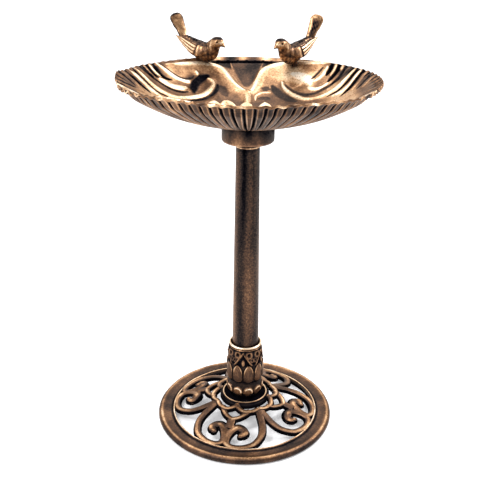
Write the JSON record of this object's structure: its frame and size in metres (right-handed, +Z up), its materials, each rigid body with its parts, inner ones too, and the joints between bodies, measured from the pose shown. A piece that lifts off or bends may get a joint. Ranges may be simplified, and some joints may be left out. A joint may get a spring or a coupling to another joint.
{
  "type": "bird bath",
  "caption": "Pedestal bird bath: a fluted round basin with perching birds lifts off a turning collar on a tapered pole, which stands in an openwork base.",
  "frame": {"origin": "centre of the round base, on the ground", "axes": "+Z up along the pole; -Y is the front; +X is to the right seen from the front; the birds perch on the rim towards +Y"},
  "size_m": [0.484, 0.4939, 0.8049],
  "materials": {
    "base_bronze": "antique bronze paint on moulded resin, rubbed pale along the edges, darker in the recesses",
    "scroll_bronze": "antique bronze paint on moulded resin, rubbed to pale gold along the tops of the straps",
    "dark_bronze": "near-black undercoat of the antique bronze finish",
    "pole_bronze": "mottled antique bronze paint, satin",
    "basin_bronze": "antique bronze paint on moulded resin, gold on the crests, near-black in the grooves",
    "bird_bronze": "antique bronze paint, gold on the crests, dark between the feathers",
    "steel": "plain zinc-plated screws and washers"
  },
  "bodies": {
    "base": {"base_ring": "base_bronze", "front_scroll": "scroll_bronze", "right_scroll": "scroll_bronze", "back_scroll": "scroll_bronze", "left_scroll": "scroll_bronze", "hub_dish": "base_bronze", "lower_sleeve": "base_bronze", "sleeve_screws": "steel", "sleeve_washers": "steel"},
    "post": {"pole": "pole_bronze", "pole_foot_plug": "dark_bronze", "pole_top_plug": "dark_bronze"},
    "swivel": {"collar": "pole_bronze"},
    "bowl": {"seat_ring": "dark_bronze", "basin": "basin_bronze", "bird_left": "bird_bronze", "bird_right": "bird_bronze", "bird_screws": "steel", "bird_washers": "steel"}
  },
  "joints": [
    {"name": "pole_lift", "type": "slide", "parent": "base", "child": "post", "axis": [0, 0, 1], "range_m": [0, 0.125]},
    {"name": "collar_turn", "type": "hinge", "parent": "post", "child": "swivel", "pos_m": [0, 0, 0.614], "axis": [0, 0, 1], "continuous": true},
    {"name": "basin_lift", "type": "slide", "parent": "swivel", "child": "bowl", "axis": [0, 0, 1], "range_m": [0, 0.05]}
  ]
}
